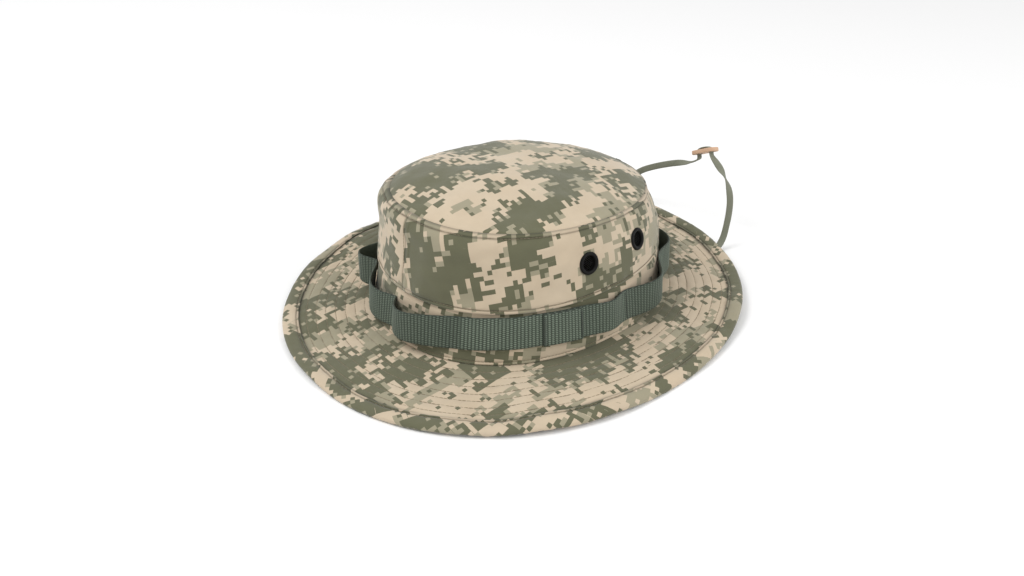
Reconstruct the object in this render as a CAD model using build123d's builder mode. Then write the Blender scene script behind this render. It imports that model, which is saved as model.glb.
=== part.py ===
from build123d import *
from math import cos, pi, radians, sin, tan
import os

os.makedirs("parts", exist_ok=True)

# Boonie hat, millimetres. +Z is up, the front faces -Y and the wearer's left is +X.
# The origin is on the surface that the brim rests on, under the middle of the hat.

# Ovals: every horizontal outline is |x/half_x|^n + |y/half_y|^n = 1.
SQUARENESS = 2.2
OVAL_POINTS = 24

# Crown
FABRIC = 1.5            # side panel with its seam tape and lining
SEAM_HALF_X = 89.5      # crown to brim seam
SEAM_HALF_Y = 105.0
BAND_HALF_X = 85.4      # top of the lower band
BAND_HALF_Y = 99.0
TOP_HALF_X = 73.6       # seam round the top panel
TOP_HALF_Y = 90.0
SIDE_BULGE = 2.7        # the side panels belly out this far half way up
BAND_HEIGHT = 35.3
SIDE_HEIGHT = 45.1
TOP_TILT = -0.081       # the top seam drops towards the back, in mm per mm
DOME_HEIGHT = 15.0
DOME_POWER = 2.5

# Brim
BRIM_WIDTH = 60.0
SEAM_ALLOWANCE = 3.0
OUTER_PLY = 0.8
INTERLINING = 0.6
EDGE_BAND = 0.6
BAND_SLACK = 0.1        # room between the edge band and the plies it wraps
BAND_TOP_WIDTH = 10.5
BAND_UNDER_WIDTH = 8.0
SEAM_Z = 7.0            # underside of the brim at the crown
EDGE_REST = 3.08        # mean height of the wavy edge, whose three lowest places touch the floor
EDGE_RISE = 1.9         # the edge climbs from front to back
EDGE_SADDLE = 1.7       # front and back stand above the two sides
EDGE_WAVE = 2.8         # three waves round the edge
SECTION_STEP = 10       # degrees between the brim's sections

# Webbing with branch loops
WEBBING = 1.4
WEBBING_WIDTH = 22.0
WEBBING_Z = 17.5
WEBBING_GAP = 0.3
LOOP_STEPS = 6
# Each loop starts at a tack, at this angle from +X, and stands this far off the crown.
LOOPS = [
    (-93, 7.0), (-62, 0.3), (-31, 0.3), (-15, 3.5), (11, 7.0), (46, 7.5), (75, 7.0),
    (105, 7.0), (135, 7.0), (163, 7.0), (187, 7.0), (210, 12.0), (238, 7.0),
]
TACK_SIZE = (2.0, 19.0, 0.5)
TACK_GAP = 0.4
FULL_LOOP = 7.0         # loops this deep or deeper stand upright instead of leaning with the crown

# Inside the crown
SWEATBAND = 2.0
SWEATBAND_HEIGHT = 31.0
LINING_GAP = 0.3
BINDING = 0.8
BINDING_SHARES = (0.75, 0.97)   # the binding's edges, as shares of the side panels' height
LABEL_SIZE = (34.0, 0.5, 20.0)
LABEL_SHARE = 0.36      # the label's height, as the same share
LABEL_GAP = 3.0

# Screened vents, two on each side
# Angle from +X, and height as a share of the side panels' height
VENT_SEATS = {
    "front_left": (-9, 0.5), "rear_left": (23.5, 0.54),
    "rear_right": (156.5, 0.54), "front_right": (189, 0.5),
}
VENT_FLANGE = 7.5
VENT_BORE = 4.8
VENT_TUBE = 5.3
VENT_HOLE = 5.5
FLANGE_THICK = 0.8
FLANGE_ROUND = 0.5
SCREEN_THICK = 0.4
SCREEN_DEPTH = 1.0
WASHER_THICK = 0.6
WASHER_GAP = 0.7
VENT_CLEAR = 0.1
SCREEN_CLEAR = 0.05
TUBE_LENGTH = FABRIC + WASHER_GAP + WASHER_THICK + 0.4

# Chin strap: a flat lace, 5 mm wide, and its leather slide
LACE = 5.0
LACE_TACK = (4.4, 9.0, 12.0)
LACE_TACK_ROUND = 1.0
LACE_BEND = 0.45        # share of the shorter run that each bend takes up
LACE_START_X = 81.4
LACE_START_Z = 15.0
SLIDE_SIZE = (23.0, 11.0, 3.0)
SLIDE_CENTRE = Vector(9.5, 179.1, 66.3)
SLIDE_LONG = Vector(0.896, 0.09, 0.435)
SLIDE_UP = Vector(-0.42, 0.25, 0.87)
SLIDE_HOLES = 11.4
SLIDE_HOLE_RADIUS = 2.8
BIGHT_HEIGHT = 7.2      # corner of the lace's fold above the middle of the slide
RIGHT_DROP = 8.4        # first bend of each strand below the middle of the slide
LEFT_DROP = 8.0

# Heights that follow from the sizes above
BRIM_STACK = 2 * OUTER_PLY + INTERLINING
CROWN_Z = SEAM_Z + BRIM_STACK
BAND_TOP_Z = CROWN_Z + BAND_HEIGHT
CROWN_LIFT = 0.1


def rim(angle, half_x, half_y):
    """Point of an oval at an angle from +X, in degrees."""
    c, s = cos(radians(angle)), sin(radians(angle))
    reach = (abs(c / half_x) ** SQUARENESS + abs(s / half_y) ** SQUARENESS) ** (-1 / SQUARENESS)
    return Vector(reach * c, reach * s)


def outward(angle, half_x, half_y):
    """Unit vector square to the oval at that point."""
    point = rim(angle, half_x, half_y)
    along_x = abs(point.X / half_x) ** (SQUARENESS - 1) / half_x
    along_y = abs(point.Y / half_y) ** (SQUARENESS - 1) / half_y
    along_x = along_x if point.X > 0 else -along_x
    along_y = along_y if point.Y > 0 else -along_y
    return Vector(along_x, along_y).normalized()


def oval(plane, half_x, half_y):
    """Face of an oval outline on a plane."""
    points = [rim(360 * step / OVAL_POINTS, half_x, half_y) for step in range(OVAL_POINTS)]
    with BuildSketch(plane) as face:
        with BuildLine():
            Spline(*points, periodic=True)
        make_face()
    return face.sketch.faces()[0]


def side_plane(share):
    """Plane across the side panels, level at the lower band and tilted at the top seam."""
    return Plane(origin=(0, 0, BAND_TOP_Z + SIDE_HEIGHT * share), x_dir=(1, 0, 0),
                 z_dir=(0, -TOP_TILT * share, 1))


def side_halves(share):
    """Half sizes of the side panels' outline at a share of their height."""
    bulge = SIDE_BULGE * 4 * share * (1 - share)
    half_x = BAND_HALF_X + (TOP_HALF_X - BAND_HALF_X) * share + bulge
    half_y = BAND_HALF_Y + (TOP_HALF_Y - BAND_HALF_Y) * share + bulge
    return half_x, half_y


def side_ovals(shares, inset):
    faces = []
    for share in shares:
        half_x, half_y = side_halves(share)
        faces.append(oval(side_plane(share), half_x - inset, half_y - inset))
    return faces


def band_halves(height):
    """Half sizes of the lower band's outer face at a height."""
    share = (height - CROWN_Z) / BAND_HEIGHT
    half_x = SEAM_HALF_X + (BAND_HALF_X - SEAM_HALF_X) * share
    half_y = SEAM_HALF_Y + (BAND_HALF_Y - SEAM_HALF_Y) * share
    return half_x, half_y


def band_ovals(heights, inset):
    faces = []
    for height in heights:
        half_x, half_y = band_halves(height)
        faces.append(oval(Plane.XY.offset(height), half_x - inset, half_y - inset))
    return faces


def dome_ovals(inset):
    """Ovals that shrink and rise into the top panel's dome."""
    base = side_plane(1)
    faces = []
    for share in (1, 0.9, 0.75, 0.5, 0.22):
        rise = (DOME_HEIGHT - inset) * (1 - share ** DOME_POWER)
        half_x = (TOP_HALF_X - inset) * share
        half_y = (TOP_HALF_Y - inset) * share
        faces.append(oval(base.offset(rise), half_x, half_y))
    return faces


def edge_height(angle):
    """Height of the brim's edge above the floor."""
    turn = radians(angle)
    return (EDGE_REST + EDGE_RISE * sin(turn) - EDGE_SADDLE * cos(2 * turn)
            - EDGE_WAVE * sin(3 * turn))


def brim_height(angle, reach):
    """Underside of the brim's plies, at a distance outward from the crown seam."""
    share = max(reach, 0) / BRIM_WIDTH
    return SEAM_Z + (edge_height(angle) + EDGE_BAND - SEAM_Z) * share


def radial_section(angle, corners):
    """Face in the upright plane that cuts the brim square to its seam."""
    foot = rim(angle, SEAM_HALF_X, SEAM_HALF_Y)
    away = outward(angle, SEAM_HALF_X, SEAM_HALF_Y)
    plane = Plane(origin=foot, x_dir=away, z_dir=(away.Y, -away.X, 0))
    with BuildSketch(plane) as face:
        with BuildLine():
            Polyline(*corners, close=True)
        make_face()
    return face.sketch.faces()[0]


def ply_sections(low, high):
    """Sections of one brim ply, from front to back on the +X side."""
    inner, outer = -SEAM_ALLOWANCE, BRIM_WIDTH - EDGE_BAND - BAND_SLACK
    faces = []
    for angle in range(-90, 91, SECTION_STEP):
        stops = [(reach, brim_height(angle, reach)) for reach in (inner, 0, outer)]
        under = [(reach, height + low) for reach, height in stops]
        over = [(reach, height + high) for reach, height in reversed(stops)]
        faces.append(radial_section(angle, under + over))
    return faces


def edge_band_sections():
    """Sections of the strip turned round the brim's edge, open towards the crown."""
    under, over = BRIM_WIDTH - BAND_UNDER_WIDTH, BRIM_WIDTH - BAND_TOP_WIDTH
    fold, edge = BRIM_WIDTH - EDGE_BAND, BRIM_WIDTH
    faces = []
    for angle in range(-90, 91, SECTION_STEP):
        corners = [
            (under, brim_height(angle, under) - EDGE_BAND),
            (edge, brim_height(angle, edge) - EDGE_BAND),
            (edge, brim_height(angle, edge) + BRIM_STACK + EDGE_BAND),
            (over, brim_height(angle, over) + BRIM_STACK + EDGE_BAND),
            (over, brim_height(angle, over) + BRIM_STACK + BAND_SLACK),
            (fold, brim_height(angle, fold) + BRIM_STACK + BAND_SLACK),
            (fold, brim_height(angle, fold) - BAND_SLACK),
            (under, brim_height(angle, under) - BAND_SLACK),
        ]
        faces.append(radial_section(angle, corners))
    return faces


def taper(angle, low, high, height):
    """How fast a wall leans in with height, in mm per mm, between two ovals' half sizes."""
    point = rim(angle, *low)
    away = outward(angle, *low)
    narrowing_x = abs(away.X * point.X) / low[0] * (low[0] - high[0])
    narrowing_y = abs(away.Y * point.Y) / low[1] * (low[1] - high[1])
    return (narrowing_x + narrowing_y) / height


def band_taper(angle):
    return taper(angle, (SEAM_HALF_X, SEAM_HALF_Y), (BAND_HALF_X, BAND_HALF_Y), BAND_HEIGHT)


def loop_outline(height, inset):
    """Outline of the webbing: it touches the crown at each tack and stands off between them."""
    half_x, half_y = band_halves(height)
    points = []
    for number, (start, stand) in enumerate(LOOPS):
        end = LOOPS[number + 1][0] if number + 1 < len(LOOPS) else LOOPS[0][0] + 360
        for step in range(LOOP_STEPS):
            share = step / LOOP_STEPS
            angle = start + (end - start) * share
            away = outward(angle, half_x, half_y)
            upright = band_taper(angle) * (height - WEBBING_Z) * min(1, stand / FULL_LOOP)
            reach = WEBBING_GAP + WEBBING - inset + (stand + upright) * sin(pi * share) ** 2
            points.append(rim(angle, half_x, half_y) + away * reach)
    with BuildSketch(Plane.XY.offset(height)) as face:
        with BuildLine():
            Spline(*points, periodic=True)
        make_face()
    return face.sketch.faces()[0]


def vent_seat(angle, share):
    """Plane on the outside of the side panels where a vent is set."""
    half_x, half_y = side_halves(share)
    middle = side_plane(share)
    point = rim(angle, half_x, half_y)
    away = outward(angle, half_x, half_y)
    lean = taper(angle, (BAND_HALF_X, BAND_HALF_Y), (TOP_HALF_X, TOP_HALF_Y), SIDE_HEIGHT)
    height = middle.origin.Z + TOP_TILT * share * point.Y
    return Plane(origin=(point.X, point.Y, height), x_dir=(-away.Y, away.X, 0),
                 z_dir=(away.X, away.Y, lean))


def save(built, label):
    built.part.label = label
    export_step(built.part, f"parts/{label}.step")


# Crown

with BuildPart() as crown_top_panel:
    loft(sections=dome_ovals(0))
    loft(sections=dome_ovals(FABRIC), mode=Mode.SUBTRACT)
save(crown_top_panel, "crown_top_panel")

for label, keep in (("crown_side_left", Keep.TOP), ("crown_side_right", Keep.BOTTOM)):
    with BuildPart() as crown_side:
        loft(sections=side_ovals((0, 0.5, 1), 0))
        loft(sections=side_ovals((0, 0.5, 1), FABRIC), mode=Mode.SUBTRACT)
        for angle, share in VENT_SEATS.values():
            with BuildSketch(vent_seat(angle, share)):
                Circle(VENT_HOLE)
            extrude(amount=2 * FABRIC, both=True, mode=Mode.SUBTRACT)
        split(bisect_by=Plane.YZ, keep=keep)
    save(crown_side, label)

with BuildPart() as crown_lower_band:
    loft(sections=band_ovals((CROWN_Z + CROWN_LIFT, BAND_TOP_Z), 0))
    loft(sections=band_ovals((CROWN_Z + CROWN_LIFT, BAND_TOP_Z), FABRIC), mode=Mode.SUBTRACT)
save(crown_lower_band, "crown_lower_band")

with BuildPart() as crown_top_binding:
    loft(sections=side_ovals(BINDING_SHARES, FABRIC + LINING_GAP))
    loft(sections=side_ovals(BINDING_SHARES, FABRIC + LINING_GAP + BINDING), mode=Mode.SUBTRACT)
save(crown_top_binding, "crown_top_binding")

sweat_heights = (CROWN_Z + 2 * CROWN_LIFT, CROWN_Z + SWEATBAND_HEIGHT)
with BuildPart() as sweatband:
    loft(sections=band_ovals(sweat_heights, FABRIC + LINING_GAP))
    loft(sections=band_ovals(sweat_heights, FABRIC + LINING_GAP + SWEATBAND), mode=Mode.SUBTRACT)
save(sweatband, "sweatband")

label_y = side_halves(LABEL_SHARE)[1] - FABRIC - LABEL_GAP
label_z = side_plane(LABEL_SHARE).origin.Z + TOP_TILT * LABEL_SHARE * label_y
label_lean = (BAND_HALF_Y - TOP_HALF_Y) / SIDE_HEIGHT
label_plane = Plane(origin=(0, label_y, label_z), x_dir=(1, 0, 0), z_dir=(0, -label_lean, 1))
with BuildPart(label_plane) as size_label:
    Box(*LABEL_SIZE)
save(size_label, "size_label")

# Brim

with BuildPart() as brim_lower_ply:
    loft(sections=ply_sections(0, OUTER_PLY))
    mirror(about=Plane.YZ)
save(brim_lower_ply, "brim_lower_ply")

with BuildPart() as brim_interlining:
    loft(sections=ply_sections(OUTER_PLY, OUTER_PLY + INTERLINING))
    mirror(about=Plane.YZ)
save(brim_interlining, "brim_interlining")

with BuildPart() as brim_upper_ply:
    loft(sections=ply_sections(OUTER_PLY + INTERLINING, BRIM_STACK))
    mirror(about=Plane.YZ)
save(brim_upper_ply, "brim_upper_ply")

with BuildPart() as brim_edge_band:
    loft(sections=edge_band_sections())
    mirror(about=Plane.YZ)
save(brim_edge_band, "brim_edge_band")

# Webbing and the stitches that hold it

webbing_heights = (WEBBING_Z, WEBBING_Z + WEBBING_WIDTH)
with BuildPart() as branch_loop_webbing:
    loft(sections=[loop_outline(height, 0) for height in webbing_heights])
    loft(sections=[loop_outline(height, WEBBING) for height in webbing_heights], mode=Mode.SUBTRACT)
save(branch_loop_webbing, "branch_loop_webbing")

tack_width, tack_length, tack_thick = TACK_SIZE
with BuildPart() as webbing_bartacks:
    for angle, _ in LOOPS:
        half_x, half_y = band_halves(WEBBING_Z + WEBBING_WIDTH / 2)
        away = outward(angle, half_x, half_y)
        seat = rim(angle, half_x, half_y) + away * (WEBBING_GAP + WEBBING + TACK_GAP)
        plane = Plane(origin=(seat.X, seat.Y, WEBBING_Z + WEBBING_WIDTH / 2),
                      x_dir=(-away.Y, away.X, 0), z_dir=(away.X, away.Y, band_taper(angle)))
        with BuildSketch(plane):
            Rectangle(tack_width, tack_length)
        extrude(amount=tack_thick)
save(webbing_bartacks, "webbing_bartacks")

# Vents

for place, (angle, share) in VENT_SEATS.items():
    seat = vent_seat(angle, share)

    with BuildPart() as barrel:
        with BuildSketch(seat.offset(VENT_CLEAR)):
            Circle(VENT_FLANGE)
        extrude(amount=FLANGE_THICK)
        flange_edges = barrel.edges().sort_by(Axis(seat.origin, seat.z_dir))
        fillet(flange_edges[-1], FLANGE_ROUND)
        with BuildSketch(seat.offset(VENT_CLEAR)):
            Circle(VENT_TUBE)
        extrude(amount=-TUBE_LENGTH)
        with BuildSketch(seat):
            Circle(VENT_BORE)
        extrude(amount=2 * TUBE_LENGTH, both=True, mode=Mode.SUBTRACT)
    save(barrel, f"vent_barrel_{place}")

    with BuildPart() as screen:
        with BuildSketch(seat.offset(-SCREEN_DEPTH)):
            Circle(VENT_BORE - SCREEN_CLEAR)
        extrude(amount=SCREEN_THICK)
    save(screen, f"vent_screen_{place}")

    with BuildPart() as washer:
        with BuildSketch(seat.offset(-FABRIC - WASHER_GAP)):
            Circle(VENT_FLANGE)
            Circle(VENT_TUBE + VENT_CLEAR, mode=Mode.SUBTRACT)
        extrude(amount=-WASHER_THICK)
    save(washer, f"vent_washer_{place}")

# Chin strap: from its left tack, under the brim, up behind the hat to the slide and back

slide_plane = Plane(origin=SLIDE_CENTRE, x_dir=SLIDE_LONG, z_dir=SLIDE_UP)
left_hole = slide_plane.origin - slide_plane.x_dir * (SLIDE_HOLES / 2)
right_hole = slide_plane.origin + slide_plane.x_dir * (SLIDE_HOLES / 2)
lace_left = [
    (-LACE_START_X, 0, LACE_START_Z), (-LACE_START_X, 0, 9.3), (-81.6, 3.6, 5.2), (-82, 11.5, 3),
    (-82.3, 23, 2.5), (-81.5, 42, 2.5),
    (-77, 70, 2.5), (-70, 101, 2.5), (-66, 130, 2.5), (-65, 148.5, 2.5), (-65.5, 159.5, 4.6),
    (-63.5, 166.5, 12), (-58, 169.3, 23), (-48.3, 171, 33), (-34.5, 172.8, 41), (-20, 174.7, 48),
    (-6.5, 175.4, 50.7), (4, 175.9, 51.6),
]
lace_fold = [
    left_hole - slide_plane.z_dir * LEFT_DROP, left_hole + slide_plane.z_dir * BIGHT_HEIGHT,
    right_hole + slide_plane.z_dir * BIGHT_HEIGHT, right_hole - slide_plane.z_dir * RIGHT_DROP,
]
lace_right = [
    (26.5, 177, 60.5), (35, 176.2, 54), (41, 175.4, 42.5), (43, 174.6, 30), (42, 174, 18.5),
    (43.8, 171, 8.8), (46, 163, 3.3), (47.5, 150, 2.5), (50, 129, 2.5), (57.5, 100, 2.5),
    (67.5, 71, 2.5), (76.5, 42.5, 2.5), (80.6, 23, 2.5), (81.6, 11.5, 3), (81.5, 3.6, 5.2),
    (LACE_START_X, 0, 9.3), (LACE_START_X, 0, LACE_START_Z),
]
lace_points = [Vector(*point) for point in lace_left] + lace_fold + [Vector(*point) for point in lace_right]
lace_runs = [(b - a).length for a, b in zip(lace_points, lace_points[1:])]
lace_radii = []
for number in range(1, len(lace_points) - 1):
    before = lace_points[number] - lace_points[number - 1]
    after = lace_points[number + 1] - lace_points[number]
    half_turn = radians(before.get_angle(after)) / 2
    lace_radii.append(LACE_BEND * min(before.length, after.length) / tan(half_turn))
print("lace radii", [round(radius, 1) for radius in lace_radii])
print("lace runs", [round(run, 1) for run in lace_runs])

with BuildPart() as chin_strap:
    with BuildLine() as lace_line:
        FilletPolyline(*lace_points, radius=lace_radii)
    with BuildSketch(Plane(origin=lace_points[0], z_dir=lace_points[1] - lace_points[0])):
        Circle(LACE / 2)
    sweep()
lace_length = sum(edge.length for edge in lace_line.edges())
print("lace length", round(lace_length, 1), "volume ratio",
      round(chin_strap.part.volume / (pi * LACE ** 2 / 4 * lace_length), 4))
save(chin_strap, "chin_strap")

for label, side in (("strap_tack_left", 1), ("strap_tack_right", -1)):
    with BuildPart(Plane(origin=(side * LACE_START_X, 0, LACE_START_Z + LACE_TACK[2] / 2))) as tack:
        Box(*LACE_TACK)
        fillet(tack.edges().filter_by(Axis.Z), LACE_TACK_ROUND)
    save(tack, label)

with BuildPart() as strap_slide:
    with BuildSketch(slide_plane.offset(-SLIDE_SIZE[2] / 2)):
        SlotOverall(SLIDE_SIZE[0], SLIDE_SIZE[1])
        with Locations((-SLIDE_HOLES / 2, 0), (SLIDE_HOLES / 2, 0)):
            Circle(SLIDE_HOLE_RADIUS, mode=Mode.SUBTRACT)
    extrude(amount=SLIDE_SIZE[2])
save(strap_slide, "strap_slide")
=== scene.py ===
from math import pi, radians, sqrt

import bmesh
import bpy
import numpy as np
from mathutils import Matrix, Vector


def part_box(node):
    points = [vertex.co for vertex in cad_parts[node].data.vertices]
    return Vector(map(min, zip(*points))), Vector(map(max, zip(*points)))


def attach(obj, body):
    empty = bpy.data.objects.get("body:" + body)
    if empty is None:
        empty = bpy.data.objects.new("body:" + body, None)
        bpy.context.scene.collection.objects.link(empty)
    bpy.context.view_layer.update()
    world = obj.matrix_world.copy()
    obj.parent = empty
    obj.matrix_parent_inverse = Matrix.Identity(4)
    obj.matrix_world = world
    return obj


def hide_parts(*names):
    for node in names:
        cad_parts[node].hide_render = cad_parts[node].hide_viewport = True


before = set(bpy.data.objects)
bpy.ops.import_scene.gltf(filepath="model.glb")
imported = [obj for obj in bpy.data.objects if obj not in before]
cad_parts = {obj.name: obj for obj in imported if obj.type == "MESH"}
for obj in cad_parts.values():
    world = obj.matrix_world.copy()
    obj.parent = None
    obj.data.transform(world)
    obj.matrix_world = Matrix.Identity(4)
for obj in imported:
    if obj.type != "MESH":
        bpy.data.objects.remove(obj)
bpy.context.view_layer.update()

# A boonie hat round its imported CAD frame. Lengths are in millimetres until a mesh is made,
# and MM turns them into metres. Angles go round from +X, the wearer's left; the front is -Y.
MM = 0.001
scene = bpy.context.scene


def new_object(name, data):
    """An object that holds this data, put in the scene."""
    made = bpy.data.objects.new(name, data)
    scene.collection.objects.link(made)
    return made


# ---------------------------------------------------------------- camera

CAMERA_TARGET = Vector((38.7, -39.7, 40.2)) * MM
CAMERA_AZIMUTH = radians(50)
CAMERA_ELEVATION = radians(30.64)
CAMERA_DISTANCE = 0.700
CAMERA_LENS = 37.72


def add_camera():
    away = Vector((np.sin(CAMERA_AZIMUTH) * np.cos(CAMERA_ELEVATION),
                   -np.cos(CAMERA_AZIMUTH) * np.cos(CAMERA_ELEVATION),
                   np.sin(CAMERA_ELEVATION)))
    data = bpy.data.cameras.new("camera")
    data.lens = CAMERA_LENS
    data.clip_start = 0.01
    camera = new_object("camera", data)
    camera.location = CAMERA_TARGET + away * CAMERA_DISTANCE
    camera.rotation_euler = away.to_track_quat("Z", "Y").to_euler()
    scene.camera = camera


add_camera()

# ---------------------------------------------------------------- sizes read from the frame


def corner(node, high, axis):
    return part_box(node)[high][axis] / MM


SQUARENESS = 2.2
SEAM_X = corner("crown_lower_band", 1, 0)       # crown to brim seam
SEAM_Y = corner("crown_lower_band", 1, 1)
SEAM_Z = corner("crown_lower_band", 0, 2)
WAIST_Z = corner("crown_lower_band", 1, 2)      # seam between the lower band and the side panels
WAIST_X, WAIST_Y = 0.954 * SEAM_X, 0.943 * SEAM_Y
TOP_X = corner("crown_top_panel", 1, 0)         # seam round the top panel
TOP_Y = corner("crown_top_panel", 1, 1) + 0.3
TOP_TILT = -0.081
SIDE_HEIGHT = 45.1
SIDE_BULGE = 2.7
SHOULDER = 4.6                                  # the side panels belly out again below the top seam,
SHOULDER_TURN = radians(-132)                   # most of all at this angle
SHOULDER_PEAK = 0.0567                          # the largest value of share ** 6 * (1 - share)
SIDE_LEAN = 0.24                                # upward share of the way out from the side panels
DOME_HEIGHT = 15.0
DOME_POWER = 2.5
DOME_FILL = 1.2                                 # added to that power where the shoulder is fullest
BAND_HEIGHT = WAIST_Z - SEAM_Z

BRIM_WIDTH = 60.0
BRIM_STACK = 2.2
BRIM_ROOT = SEAM_Z - 0.1                        # top of the brim at the crown
FLOOR_GAP = 0.3
FIRST_ROW, ROW_STEP = 6.2, 6.4
STITCH_ROWS = [FIRST_ROW + ROW_STEP * row for row in range(7)]
BAND_TOP = BRIM_WIDTH - 10.5                    # inner fold of the strip round the brim's edge, on top
BAND_UNDER = BRIM_WIDTH - 8.0                   # and underneath
BAND_THICK = 0.6
BAND_GROOVE, UNDER_GROOVE = 1.65, 1.55          # its stitched grooves, out from those folds

# Each list is a wave round the brim: how many times it swings, then its cosine and sine shares.
# The underside of the edge lies low at both sides and the front, and is raised behind.
EDGE_LEVEL, EDGE_LOWEST = 3.3, 0.15
EDGE_SWINGS = [(1, -0.8, 2.3), (2, -1.7, 1.2), (3, 0.0, -2.5), (4, 0.0, 0.9), (5, -0.7, -0.6)]
# The brim is cut a little wider at the front and right than at the back and left.
WIDTH_LEVEL, WIDTH_SWINGS = 60.4, [(1, -1.9, -1.9), (2, -1.0, -0.9)]
SAG_LEVEL, SAG_SWINGS = 0.9, [(1, -1.7, 0.4), (2, 2.1, -1.2)]
SAG_SCALE = 0.119                               # divides share ** 2 * (1 - share), the sag across the brim

WEBBING_Z = corner("branch_loop_webbing", 0, 2)
WEBBING_WIDTH = corner("branch_loop_webbing", 1, 2) - WEBBING_Z
WEBBING_THICK = 1.4
WEBBING_GAP = 0.3
FULL_LOOP = 7.0
# Each loop starts at a tack, at this angle, and stands this far off the crown. The third number says
# where it stands out most: at its middle for 1, nearer its start below 1 and nearer its end above 1.
LOOPS = [
    (-93, 6.5, 0.55), (-62, 0.5, 1), (-31, 0.3, 1), (-15, 3.5, 1.2), (11, 6.5, 1), (46, 5.5, 1),
    (75, 7.0, 0.8), (105, 7.0, 1.2), (135, 7.0, 1), (163, 7.0, 0.9), (187, 7.0, 1), (210, 11.5, 2.6),
    (238, 4.5, 1.1),
]
HIDDEN_TACK = -62                               # this one's thread is sunk between the ribs
OVERLAP = (-31.5, -14.5)                        # where the webbing's two ends lie on each other

# Each vent's angle, and its height as a share of the side panels' height.
VENTS = {
    "front_left": (-9, 0.5), "rear_left": (23.5, 0.54),
    "rear_right": (156.5, 0.54), "front_right": (189, 0.5),
}

# ---------------------------------------------------------------- shapes as formulas


def round_turns(count, start=0.0):
    """Angles of points evenly spaced all the way round, without the closing one."""
    return np.linspace(start, start + 2 * pi, count + 1)[:-1]


def swinging(turn, level, swings):
    """A level that rises and falls on the way round."""
    for times, cosine, sine in swings:
        level = level + cosine * np.cos(times * turn) + sine * np.sin(times * turn)
    return level


def oval(turn, half_x, half_y):
    """Points of an oval outline, and the directions square to it."""
    c, s = np.cos(turn), np.sin(turn)
    reach = (np.abs(c / half_x) ** SQUARENESS + np.abs(s / half_y) ** SQUARENESS) ** (-1 / SQUARENESS)
    x, y = reach * c, reach * s
    along_x = np.abs(x / half_x) ** (SQUARENESS - 1) / half_x * np.sign(x)
    along_y = np.abs(y / half_y) ** (SQUARENESS - 1) / half_y * np.sign(y)
    size = np.hypot(along_x, along_y)
    return x, y, along_x / size, along_y / size


def shoulder(turn):
    """How full the crown's shoulder is at each angle, from 0 to 1."""
    return (0.5 + 0.5 * np.cos(turn - SHOULDER_TURN)) ** 2


def side_points(turn, slant, out):
    """Points on the side panels: slant is the way up from the waist, out the distance off the cloth."""
    share = slant / SIDE_HEIGHT
    within = np.clip(share, 0, 1)
    full = shoulder(turn)
    bulge = (SIDE_BULGE - 0.6 * full) * 4 * within * (1 - within)
    bulge += SHOULDER * full * within ** 6 * (1 - within) / SHOULDER_PEAK
    half_x = WAIST_X + (TOP_X - WAIST_X) * share + bulge
    half_y = WAIST_Y + (TOP_Y - WAIST_Y) * share + bulge
    x, y, away_x, away_y = oval(turn, half_x, half_y)
    z = WAIST_Z + slant + TOP_TILT * share * y
    return np.stack([x + away_x * out, y + away_y * out, z + SIDE_LEAN * out], axis=-1)


def band_points(turn, height, out):
    """Points on the lower band, at a height above the floor."""
    share = (height - SEAM_Z) / BAND_HEIGHT
    half_x = SEAM_X + (WAIST_X - SEAM_X) * share
    half_y = SEAM_Y + (WAIST_Y - SEAM_Y) * share
    x, y, away_x, away_y = oval(turn, half_x, half_y)
    return np.stack([x + away_x * out, y + away_y * out, height + 0 * x], axis=-1)


def dome_points(turn, inward, rise):
    """Points on the top panel: inward is the distance in from its seam, rise a lift off the dome."""
    share = 1 - inward / TOP_X
    x, y, _, _ = oval(turn, TOP_X, TOP_Y)
    x, y = x * share, y * share
    dome = DOME_HEIGHT * (1 - np.clip(share, 0, 1) ** (DOME_POWER + DOME_FILL * shoulder(turn)))
    z = WAIST_Z + SIDE_HEIGHT + TOP_TILT * y + dome + rise
    return np.stack([x, y, z], axis=-1)


def brim_points(turn, reach, up):
    """Points on the brim: reach is the distance out from the crown seam, up the height off its top face."""
    share = reach / BRIM_WIDTH
    reach = reach * np.where(reach > 0, swinging(turn, WIDTH_LEVEL, WIDTH_SWINGS) / BRIM_WIDTH, 1)
    x, y, away_x, away_y = oval(turn, SEAM_X, SEAM_Y)
    edge = np.maximum(swinging(turn, EDGE_LEVEL, EDGE_SWINGS), EDGE_LOWEST) + BAND_THICK + BRIM_STACK
    sag = swinging(turn, SAG_LEVEL, SAG_SWINGS)
    swell = np.clip(share, 0, 1) ** 2 * (1 - np.clip(share, 0, 1)) / SAG_SCALE
    z = np.maximum(BRIM_ROOT + (edge - BRIM_ROOT) * share + sag * swell + up, FLOOR_GAP)
    return np.stack([x + away_x * reach, y + away_y * reach, z], axis=-1)


def waves(points, size, seed, count=14):
    """A smooth random field over points, about 1 in size, whose bumps are about size apart."""
    random = np.random.RandomState(seed)
    total = np.zeros(points.shape[:-1])
    for _ in range(count):
        direction = random.normal(size=3)
        direction /= np.linalg.norm(direction)
        pace = 2 * pi / size * random.uniform(0.6, 1.4)
        total += np.cos(points @ direction * pace + random.uniform(0, 2 * pi))
    return total * sqrt(2 / count)


def flattened(swing, power):
    """A cosine or sine made blunter, which turns a circle into a rounded oblong."""
    return np.sign(swing) * np.abs(swing) ** power


def near(distance, width):
    """1 at a distance of 0, falling softly to 0 a few widths away."""
    return np.exp(-(distance / width) ** 2)


def along(points):
    """Distance travelled down the first axis of an array of points."""
    steps = np.linalg.norm(np.diff(points, axis=0), axis=-1)
    return np.concatenate([[0.0], np.cumsum(steps)])


# ---------------------------------------------------------------- mesh makers


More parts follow.
